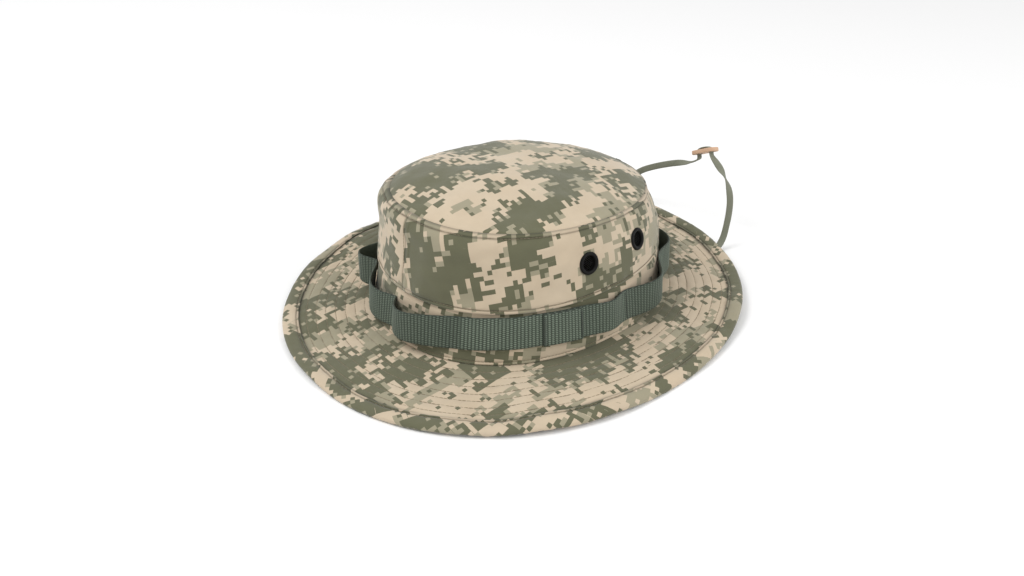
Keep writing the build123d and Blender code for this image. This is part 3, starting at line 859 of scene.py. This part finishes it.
def add_dome():
    """The domed top panel, with soft hollows, pulled down into its seam."""
    turn = round_turns(360)
    edge = [(-0.9, -2.4), (-0.35, -1.5), (0.0, -0.85), (0.35, -0.35), (0.8, -0.05), (1.4, 0.1), (2.2, 0.1),
            (3.2, 0.02)]
    body = [(inward, 0.0) for inward in np.linspace(4.4, TOP_X - 0.8, 52)]
    rows = np.array(edge + body)[::-1]
    inward, rise = rows[:, 0], rows[:, 1]
    shape = dome_points(turn[:, None], inward[None, :], 0.0)
    inside = np.clip(inward / 9, 0, 1)
    lift = rise + 0.75 * waves(shape, 62, 11) * inside + 0.22 * waves(shape, 20, 12) * inside
    lift += 0.15 * waves(shape, 9.0, 13) * near(inward - 4, 4.0)
    lift += 0.05 * waves(shape, 5.0, 14) * inside
    points = dome_points(turn[:, None], inward[None, :], lift)
    cloth = np.concatenate([points, points[:1]])[:, :, :2] + np.array(DOME_SHIFT)
    piece = grid_mesh("top_panel", points, cloth, ring=True, flip=True)
    fill_ends(piece, len(turn))
    layer = piece.data.uv_layers["cloth"].data
    for loop in piece.data.polygons[-1].loop_indices:
        vertex = piece.data.vertices[piece.data.loops[loop].vertex_index].co / MM
        layer[loop].uv = ((vertex.x + DOME_SHIFT[0]) / 10, (vertex.y + DOME_SHIFT[1]) / 10)
    thicken(piece, CLOTH, lining_slot=True)
    finish_piece(piece, "camouflage_cloth", LINED, "crown_top_panel")


def add_lower_band():
    """The band below the side panels, sewn to the brim along a folded, stitched edge."""
    turn = round_turns(420, pi / 2)
    foot = [(-0.5, -1.6), (-0.1, -0.7), (0.1, -0.1), (0.5, 0.35), (1.1, 0.55), (1.6, 0.42), (2.0, 0.05),
            (2.25, -0.08), (2.5, 0.08), (3.0, 0.28), (4.2, 0.24), (6.0, 0.15)]
    body = [(height, 0.0) for height in np.arange(8.0, BAND_HEIGHT - 6, 1.6)]
    head = [(BAND_HEIGHT - below, out) for below, out in ((4.5, -0.3), (2.5, -1.0), (1, -1.5), (-2, -2.0))]
    rows = np.array(foot + body + head)
    height, out = rows[:, 0] + SEAM_Z, rows[:, 1]
    shape = band_points(turn[:, None], height[None, :], 0.0)
    offset = np.broadcast_to(out[None, :], shape.shape[:2]).copy()
    offset += 0.22 * waves(shape, 34, 21) * np.clip(rows[:, 0] / 5, 0, 1)[None, :]
    offset += 0.12 * waves(shape, 8, 22) * near(rows[:, 0] - 4, 3.5)[None, :]
    lap = along(shape[:, 5])[:, None]
    offset += 0.5 * near(np.maximum(lap - 5, 0), 0.8) * (1 - near(lap, 0.3))
    points = band_points(turn[:, None], height[None, :], offset)
    closed = np.append(turn, turn[-1] + turn[1] - turn[0])
    cloth = unrolled(closed, rows[:, 0], BAND_CONE, 3 * pi / 2, (200, 700))
    piece = grid_mesh("lower_band", points, cloth, ring=True)
    thicken(piece, CLOTH, lining_slot=True)
    finish_piece(piece, "camouflage_cloth", LINED, "crown_lower_band")


add_crown()

# ---------------------------------------------------------------- brim


def quilting(reach):
    """Height of the brim's cloth across its stitch rows: a narrow groove at each, a soft swell between."""
    between = np.sin(pi * np.clip((reach - FIRST_ROW) / ROW_STEP, 0, len(STITCH_ROWS) - 1)) ** 2
    return 0.16 * between - 0.22 * sum(near(reach - row, 0.35) for row in STITCH_ROWS)


def brim_roll(shape, reach):
    """The brim's slow rise and fall, which all its pieces share and which grows from the crown."""
    return 0.45 * waves(shape, 55, 32) * np.clip(reach / 25, 0, 1)


def brim_reaches(start, end):
    """Distances out across the brim, closer together at the stitch rows."""
    stops = list(np.arange(start, end, 1.3)) + [end]
    for row in STITCH_ROWS:
        stops += [row + beside for beside in (-0.9, -0.45, 0, 0.45, 0.9)]
    stops = sorted(stop for stop in stops if start <= stop <= end)
    kept = [stops[0]]
    for stop in stops[1:]:
        if stop - kept[-1] > 0.3:
            kept.append(stop)
    return np.array(kept)


def brim_ply(name, start, top, sign, shift, slot_name, materials, replaced):
    """One ply of the brim, from under the crown to inside the edge band. sign is 1 up, -1 down, 0 between."""
    turn = round_turns(720)
    reach = brim_reaches(start, BRIM_WIDTH - 1.2)
    shape = brim_points(turn[:, None], reach[None, :], 0.0)
    puckers = 0.10 * waves(shape, 7.0, 31) * np.clip(reach / 8, 0, 1)
    up = top + sign * (quilting(reach) + puckers) + brim_roll(shape, reach)
    points = brim_points(turn[:, None], reach[None, :], up)
    cloth = np.concatenate([points, points[:1]])[:, :, :2] + np.array(shift)
    piece = grid_mesh(name, points, cloth, ring=True, flip=sign >= 0)
    # Painted shadow on the ply's cloth from just inside the edge band's inner fold outward.
    shadow_beside_band = near(np.minimum(reach - (BAND_TOP - 0.4), 0), 0.9)
    mark_points(piece, "fold", np.broadcast_to(shadow_beside_band, points.shape[:2]))
    thicken(piece, 0.6 if sign else 0.4)
    return finish_piece(piece, slot_name, materials, replaced)


def edge_profile():
    """Cross section of the strip folded round the brim's edge, as reach and height off the brim's top."""
    low = -BRIM_STACK
    upper = [(0, 0.06), (-0.1, 0.45), (0.15, 0.95), (0.7, 1.10), (1.25, 0.85), (1.65, 0.42), (2.0, 0.75),
             (2.6, 1.02), (4.5, 1.20), (7, 1.15), (9, 0.80), (9.9, 0.30)]
    rim = [(0, -0.45), (0.1, -1.1), (0, -1.8), (-0.5, low - 0.25), (-1.6, low - 0.6), (-4, low - 0.62)]
    lower = [(1.9, -0.55), (1.55, -0.35), (1.2, -0.55), (0.4, -0.6), (0, -0.4), (0, -0.1), (3, -0.06)]
    inside = [(BRIM_WIDTH - 0.9, low + 0.1), (BRIM_WIDTH - 0.8, -0.2), (BAND_TOP + 5, 0.08)]
    return np.array([(BAND_TOP + along_top, up) for along_top, up in upper]
                    + [(BRIM_WIDTH + past, up) for past, up in rim]
                    + [(BAND_UNDER + under, low + up) for under, up in lower] + inside)


def add_edge_band():
    """The bias strip folded and stitched round the brim's edge."""
    turn = round_turns(900)
    profile = edge_profile()[::-1]
    reach, up = profile[:, 0], profile[:, 1]
    shape = brim_points(turn[:, None], reach[None, :], 0.0)
    shown = np.where(up > 0, 1.0, -1.0) * np.clip(np.abs(up) / 0.5, 0, 1)
    rise = up + 0.10 * waves(shape, 5.5, 41) * shown + brim_roll(shape, reach)
    drift = 0.25 * waves(shape[:, :1], 40, 42) * np.clip((BRIM_WIDTH - reach) / 8, 0, 1)
    points = brim_points(turn[:, None], reach + drift, rise)
    travelled = along(points[:, 10])
    travelled = np.append(travelled, travelled[-1] + travelled[1])
    across = along(profile)
    u, v = np.meshgrid(travelled, np.append(across, across[-1] + 1), indexing="ij")
    cloth = np.stack([u - v, u + v], axis=-1) * np.cos(radians(45)) + np.array((60, 1500))
    piece = grid_mesh("edge_band", points, cloth, ring=True, tube=True)
    # Painted shade in the edge band's stitched groove and along its inner fold.
    groove = near(reach - (BAND_TOP + BAND_GROOVE), 0.7) + near(reach - BAND_TOP, 0.35)
    mark_points(piece, "fold", np.broadcast_to(np.clip(groove, 0, 1), points.shape[:2]))
    finish_piece(piece, "camouflage_cloth", PRINTED, "brim_edge_band")


def add_brim():
    brim_ply("brim_top", -1.5, 0.0, 1, (1110, 240), "camouflage_cloth", PRINTED, "brim_upper_ply")
    brim_ply("brim_core", -1.0, -0.9, 0, (0, 0), "interlining", [WOVEN["stiffener"]], "brim_interlining")
    brim_ply("brim_underside", -1.5, -BRIM_STACK, -1, (150, 1150), "camouflage_cloth", PRINTED,
             "brim_lower_ply")
    add_edge_band()


add_brim()

# ---------------------------------------------------------------- seam stitching


def path_with_normals(maker, first, second, outward):
    """A line on a surface and the direction square to it, from its points and a neighbouring line's."""
    line = maker(first)
    beside = maker(second)
    forward = np.gradient(line, axis=0)
    normal = np.cross(forward, beside - line) * outward
    return line, normal / np.linalg.norm(normal, axis=1, keepdims=True)


def add_stitching():
    turn = np.linspace(0, 2 * pi, 1441)

    def brim_row(up, reach, beside, outward):
        def row_at(at):
            level = np.full_like(turn, at)
            return brim_points(turn, level, up + brim_roll(brim_points(turn, level, 0.0), at))
        return path_with_normals(row_at, reach, beside, outward)

    def side_row(out, slant, beside):
        return path_with_normals(lambda at: side_points(turn, np.full_like(turn, at), out), slant, beside, 1)

    def band_row(out, height, beside):
        def row_at(at):
            return band_points(turn, np.full_like(turn, SEAM_Z + at), out)
        return path_with_normals(row_at, height, beside, 1)

    rows = [brim_row(-0.16, reach, reach + 0.5, -1) for reach in STITCH_ROWS]
    rows.append(brim_row(0.50, BAND_TOP + BAND_GROOVE, BAND_TOP + 2.5, -1))
    stitches("brim_top_stitching", rows)
    rows = [brim_row(0.16 - BRIM_STACK, reach, reach + 0.5, 1) for reach in STITCH_ROWS]
    rows.append(brim_row(-0.42 - BRIM_STACK, BAND_UNDER + UNDER_GROOVE, BAND_UNDER + 2, 1))
    stitches("brim_under_stitching", rows)

    rows = [side_row(0.42, FOOT_GROOVE, FOOT_GROOVE + 1.05), side_row(-0.05, TOP_GROOVE, TOP_GROOVE + 0.5),
            band_row(0.02, BAND_FOOT_GROOVE, BAND_FOOT_GROOVE + 0.75)]
    heights = np.linspace(3.5, SIDE_HEIGHT - 4, 60)
    for side in (-1, 1):
        seam = side * (pi / 2 - SEAM_GROOVE / WAIST_X)
        line = side_points(np.full_like(heights, seam), heights, 0.62)
        rows.append((line, np.broadcast_to(np.array([0, side, SIDE_LEAN]), line.shape)))
    stitches("crown_stitching", rows, thread=0.17, length=2.25, pitch=2.4)


add_stitching()

# ---------------------------------------------------------------- webbing with branch loops

RIB = 2.4                                       # from one rib of the webbing to the next
FLOAT = 1.3                                     # from one raised weft float to the next along a rib
RIB_DEPTH = 0.6
RIB_STEP = 0.4
ACROSS_STEPS = 72
WEBBING_LAP = WEBBING_THICK + 0.15              # how far the upper end stands off where the ends lap
TACK_STEPS = 52
TACK_SIDE = 0.6                                 # half the width of a bartack's zigzag


def loop_stand(turn):
    """How far the webbing stands off the crown at each angle, and how slack that loop is from 0 to 1."""
    degrees = np.degrees(turn)
    stand, slack = np.zeros_like(turn), np.zeros_like(turn)
    for number, (start, depth, skew) in enumerate(LOOPS):
        end = LOOPS[number + 1][0] if number + 1 < len(LOOPS) else LOOPS[0][0] + 360
        inside = (degrees >= start) & (degrees < end)
        share = np.clip((degrees - start) / (end - start), 0, 1)
        stand = np.where(inside, depth * np.sin(pi * share ** skew) ** 2, stand)
        slack = np.where(inside, min(1, depth / FULL_LOOP), slack)
    return stand, slack


def webbing_rise(turn):
    """The webbing is sewn on unevenly: low round the front tack, high beside its overlapped ends."""
    degrees = (np.degrees(turn) + 180) % 360 - 180
    return 3.2 * near(degrees + 38, 30) - 3.4 * near(degrees + 103, 22) - 1.0 * near(degrees - 22, 18)


def webbing_points(turn, across, out):
    """Points on the webbing: across runs from 0 at its lower edge to 1 at its upper edge."""
    height = WEBBING_Z + WEBBING_WIDTH * across + webbing_rise(turn)
    stand, slack = loop_stand(turn)
    middle_x, middle_y, away_x, away_y = oval(turn, SEAM_X, SEAM_Y)
    narrowing = (np.abs(away_x * middle_x) / SEAM_X * (SEAM_X - WAIST_X)
                 + np.abs(away_y * middle_y) / SEAM_Y * (SEAM_Y - WAIST_Y)) / BAND_HEIGHT
    share = np.where(slack > 0, stand / np.maximum(slack * FULL_LOOP, 0.01), 0)
    upright = narrowing * (height - WEBBING_Z) * slack * np.clip(share, 0, 1)
    return band_points(turn, height, WEBBING_GAP + stand + upright + out)


def webbing_turns(start, end, step):
    """Angles along the webbing, evenly spaced by length, and the length at each."""
    fine = np.linspace(start, end, 6000)
    travelled = along(webbing_points(fine, np.full_like(fine, 0.5), WEBBING_THICK))
    count = int(travelled[-1] / step)
    lengths = np.linspace(0, travelled[-1], count + 1)
    return np.interp(lengths, travelled, fine), lengths


def webbing_strip(name, start, end, lift, ring):
    """A length of webbing as a closed strip: a ribbed outer face, a plain inner face and rounded edges."""
    turn, lengths = webbing_turns(radians(start), radians(end), RIB_STEP)
    if ring:
        pitch = lengths[-1] / round(lengths[-1] / RIB)
        turn, lengths = turn[:-1], lengths[:-1]
    else:
        pitch = RIB
    across = np.linspace(0, 1, ACROSS_STEPS)
    edge = np.sqrt(np.clip(1 - (2 * np.abs(across - 0.5)) ** 14, 0, 1))
    column = np.floor(lengths / pitch)
    rib = np.abs(np.cos(pi * (lengths / pitch - 0.5))) ** 0.7
    beads = 0.5 + 0.5 * np.cos(2 * pi * across[None, :] * WEBBING_WIDTH / FLOAT + pi * (column % 2)[:, None])
    slack = loop_stand(turn)[1][:, None]
    crest = rib[:, None] * (0.15 + 0.85 * beads)
    firm = 1 - 0.35 * slack
    ribbed = -RIB_DEPTH * (1 - crest) * firm
    outer = WEBBING_THICK / 2 + (WEBBING_THICK / 2 + ribbed) * edge[None, :]
    inner_across = np.array([1.0, 0.97, 0.75, 0.5, 0.25, 0.03, 0.0])
    inner = np.array([0.35, 0.05, 0.0, 0.0, 0.0, 0.05, 0.35])
    every_across = np.concatenate([across, inner_across])
    out = np.concatenate([outer, np.broadcast_to(inner, (len(turn), len(inner)))], axis=1) + lift
    points = webbing_points(turn[:, None] + 0 * out, every_across[None, :] + 0 * out, out)
    points[:, :, 2] += 0.25 * waves(points[:, :1], 30, 51)
    cloth_u = np.append(lengths, lengths[-1] + RIB_STEP)[:len(turn) + (1 if ring else 0)]
    cloth_v = np.append(every_across, 0) * WEBBING_WIDTH
    cloth = np.stack(np.meshgrid(cloth_u, cloth_v, indexing="ij"), axis=-1)
    piece = grid_mesh(name, points, cloth, ring=ring, tube=True)
    # Share of painted highlight for the webbing material: most on the rib crests, less on slack loops, none
    # at the rounded edges, and little on the inner face, which is painted dark as shade.
    full = np.concatenate([crest ** 1.3 * firm * edge, np.full((len(turn), len(inner)), 0.2)], axis=1)
    mark_points(piece, "crest", full)
    if not ring:
        fill_ends(piece, len(every_across))
    return piece


def bartack(turn, reach):
    """Zigzag of thread down the webbing at one tack."""
    share = np.linspace(0.08, 0.92, TACK_STEPS)
    side = np.where(np.arange(TACK_STEPS) % 2 == 0, -TACK_SIDE, TACK_SIDE)
    _, _, away_x, away_y = oval(turn, SEAM_X, SEAM_Y)
    away, tangent = np.array([away_x, away_y, 0]), np.array([-away_y, away_x, 0])
    line = webbing_points(np.full(TACK_STEPS, turn), share, reach) + tangent * side[:, None]
    around = np.outer(np.cos(THREAD_SIDES), (0, 0, 1)) + np.outer(np.sin(THREAD_SIDES), away)
    return line[:, None, :] + around[None, :, :] * 0.14


def add_webbing():
    round_start = LOOPS[0][0]
    strip = webbing_strip("loop_webbing", round_start, round_start + 360, 0.0, ring=True)
    finish_piece(strip, "webbing", [webbing_nylon], "branch_loop_webbing")
    overlap = webbing_strip("webbing_overlap", *OVERLAP, WEBBING_LAP, ring=False)
    finish_piece(overlap, "webbing", [webbing_nylon])
    tacks = []
    for start, _, _ in LOOPS:
        if start != HIDDEN_TACK:
            on_overlap = OVERLAP[0] < start < OVERLAP[1]
            tacks.append(bartack(radians(start), WEBBING_THICK + (WEBBING_LAP if on_overlap else 0)))
    finish_piece(tube_mesh("bartacks", tacks), "thread", [WOVEN["tack_thread"]], "webbing_bartacks")


add_webbing()

# ---------------------------------------------------------------- vents

VENT_STEPS = 64
WIRE, WIRE_PITCH = 0.17, 1.05


def lathe(name, profile, middle, normal):
    """A closed ring turned about the line through middle along normal; profile has radius and height."""
    normal = Vector(normal).normalized()
    side = normal.orthogonal().normalized()
    other = normal.cross(side)
    turn = round_turns(VENT_STEPS)
    profile = np.array(profile)
    around = np.cos(turn)[:, None] * np.array(side) + np.sin(turn)[:, None] * np.array(other)
    points = (np.array(middle) + around[:, None, :] * profile[None, :, :1]
              + np.array(normal)[None, None, :] * profile[None, :, 1:])
    cloth = np.zeros((VENT_STEPS + 1, len(profile) + 1, 2))
    return grid_mesh(name, points, cloth, ring=True, tube=True)


def wire_screen(name, middle, normal, radius, depth):
    """Woven wire: two sets of bars that pass over and under each other."""
    side = np.array(Vector(normal).orthogonal().normalized())
    other = np.cross(normal, side)
    tubes = []
    for first, second, phase in ((side, other, 0.0), (other, side, pi)):
        around = np.outer(np.cos(THREAD_SIDES), first) + np.outer(np.sin(THREAD_SIDES), normal)
        for number, offset in enumerate(np.arange(-4, 5) * WIRE_PITCH):
            half = sqrt(radius ** 2 - offset ** 2)
            run = np.linspace(-half, half, 28)
            lift = depth + 0.15 * np.cos(pi * run / WIRE_PITCH + pi * number + phase)
            centre = middle + first * offset + np.outer(run, second) + np.outer(lift, normal)
            tubes.append(centre[:, None, :] + around * WIRE)
    return tube_mesh(name, tubes)


def add_vents():
    rim = [(4.75, -2.6), (4.7, -1.0), (4.75, 0.3), (5.05, 0.95), (5.6, 1.32), (6.3, 1.38), (6.95, 1.15),
           (7.35, 0.7), (7.5, 0.2), (7.3, 0.02), (6.0, 0.0), (5.35, -0.2), (5.3, -1.2), (5.3, -2.6)]
    washer = [(5.45, -2.05), (5.45, -2.5), (5.8, -2.75), (7.1, -2.75), (7.5, -2.5), (7.5, -2.15), (7.2, -2.0)]
    for place, (middle, normal) in VENT_PLACES.items():
        ring = lathe(f"vent_eyelet_{place}", rim, middle, normal)
        finish_piece(ring, "black_metal", [black_enamel], f"vent_barrel_{place}")
        screen = wire_screen(f"vent_mesh_{place}", middle, normal, 4.75, -0.9)
        finish_piece(screen, "black_screen", [black_wire], f"vent_screen_{place}")
        back = lathe(f"vent_backing_{place}", washer, middle, normal)
        finish_piece(back, "black_metal", [black_enamel], f"vent_washer_{place}")


add_vents()

# ---------------------------------------------------------------- inside the crown


def ring_strip(name, maker, profile, steps, ripple, seed):
    """A strip sewn round the inside: profile has height and offset, closed into a solid strip."""
    turn = round_turns(steps)
    profile = np.array(profile)
    height, out = profile[:, 0], profile[:, 1]
    shape = maker(turn[:, None], height[None, :], out[None, :])
    offset = out + ripple * waves(shape * np.array([1, 1, 0.3]), 14, seed)
    points = maker(turn[:, None], height + 0 * offset, offset)
    travelled = along(points[:, 0])
    travelled = np.append(travelled, travelled[-1] + travelled[1])
    cloth = np.stack(np.meshgrid(travelled, np.append(along(profile), 0), indexing="ij"), axis=-1)
    return grid_mesh(name, points, cloth, ring=True, tube=True)


def add_inside():
    low, high = SEAM_Z + 0.1, SEAM_Z + 30.9
    middle = (low + high) / 2
    outer = [(low, -2.0), (low + 1.2, -2.0), (middle, -2.1), (high - 0.8, -2.0), (high, -2.4)]
    inner = [(high + 0.2, -2.9), (high - 0.3, -3.5), (high - 1.6, -3.7), (high - 2.1, -3.35),
             (high - 2.6, -3.7), (high - 8, -3.9), (middle, -4.0), (low + 6, -3.9), (low + 2.5, -3.7),
             (low + 2.0, -3.4), (low + 1.4, -3.6), (low + 0.3, -3.3), (low - 0.1, -2.7)]
    sweat = ring_strip("sweat_band", band_points, outer + inner, 420, 0.12, 61)
    finish_piece(sweat, "sweatband_cloth", [WOVEN["sweat_twill"]], "sweatband")
    start, end = 0.75 * SIDE_HEIGHT, 0.97 * SIDE_HEIGHT
    outer = [(start, -1.9), ((start + end) / 2, -1.8), (end, -1.9), (end + 0.1, -2.3)]
    inner = [(end - 0.7, -2.65), (end - 1.3, -2.45), (end - 1.9, -2.65), (start + 1.9, -2.65),
             (start + 1.3, -2.45), (start + 0.7, -2.65), (start - 0.1, -2.3)]
    tape = ring_strip("binding_tape", side_points, outer + inner, 360, 0.08, 62)
    finish_piece(tape, "binding_tape", [WOVEN["tape_weave"]], "crown_top_binding")
    add_label()


def add_label():
    """Blank cloth label with turned edges, sewn inside at the back."""
    low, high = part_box("size_label")
    columns, rows = 36, 24
    x = np.linspace(low.x, high.x, columns) / MM
    share = np.linspace(0, 1, rows)
    z = (low.z + (high.z - low.z) * share) / MM
    y = (high.y + (low.y - high.y) * share) / MM
    grid_x, grid_z = np.meshgrid(x, z, indexing="ij")
    grid_y = y[None, :] - 0.0028 * grid_x ** 2 + 0.3
    points = np.stack([grid_x, grid_y, grid_z], axis=-1)
    points[:, :, 1] += 0.12 * waves(points, 9, 71)
    piece = grid_mesh("blank_label", points, points[:, :, [0, 2]])
    thicken(piece, 0.4)
    finish_piece(piece, "label_cloth", [WOVEN["label_satin"]], "size_label")


def add_lace_tacks():
    """Folded and stitched ends of the chin strap's lace."""
    height = np.linspace(-1, 1, 30)
    around = round_turns(24)
    size = 0.62 * np.sqrt(np.clip(1 - np.abs(height) ** 8, 0.05, 1)) * (1 - 0.06 * np.cos(height * 9))
    wide = np.outer(size, flattened(np.cos(around), 0.5))
    deep = np.outer(size, flattened(np.sin(around), 0.5))
    for side in ("left", "right"):
        node = f"strap_tack_{side}"
        low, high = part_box(node)
        centre, half = np.array(low + high) / 2 / MM, np.array(high - low) / 2 / MM
        points = centre + half * np.stack([wide, deep, height[:, None] + 0 * wide], axis=-1)
        piece = grid_mesh(f"lace_end_{side}", points, np.zeros((30, 25, 2)), tube=True, flip=True)
        fill_ends(piece, 24)
        finish_piece(piece, "lace", [WOVEN["lace_braid"]], node)


add_inside()
add_lace_tacks()

# ---------------------------------------------------------------- studio

FLOOR_REACH = 4000
SKY_POWER = 0.75
LIGHT_TARGET = Vector((0, 0, 0.04))
# Each lamp's place and width in metres, and its power in watts.
LAMPS = {"key": ((-0.5, -0.9, 1.5), 0.9, 14), "fill": ((1.3, 0.5, 1.1), 1.2, 9)}


def add_lamp(name, place, size, power):
    data = bpy.data.lights.new(name, "AREA")
    data.shape = "DISK"
    data.size = size
    data.energy = power
    light = new_object(name, data)
    light.location = place
    light.rotation_euler = (Vector(place) - LIGHT_TARGET).to_track_quat("Z", "Y").to_euler()


def add_studio():
    corners = [(x * FLOOR_REACH, y * FLOOR_REACH, 0) for x, y in ((-1, -1), (1, -1), (1, 1), (-1, 1))]
    floor = make_mesh("floor", corners, [(0, 1, 2, 3)], smooth=False)
    nodes = Nodes("floor_paint")
    cloudy = nodes.noise(nodes.place(), 2.0, 2.0)
    nodes.surface(nodes.mix(cloudy, (0.90, 0.90, 0.90, 1), (0.92, 0.92, 0.92, 1)), 0.9)
    floor.data.materials.append(nodes.material)
    world = bpy.data.worlds.new("studio")
    world.use_nodes = True
    world.node_tree.nodes["Background"].inputs[0].default_value = (1.0, 1.0, 1.0, 1)
    world.node_tree.nodes["Background"].inputs[1].default_value = SKY_POWER
    scene.world = world
    for name, lamp in LAMPS.items():
        add_lamp(name, *lamp)
    scene.view_settings.view_transform = "Standard"


add_studio()

bpy.context.view_layer.update()
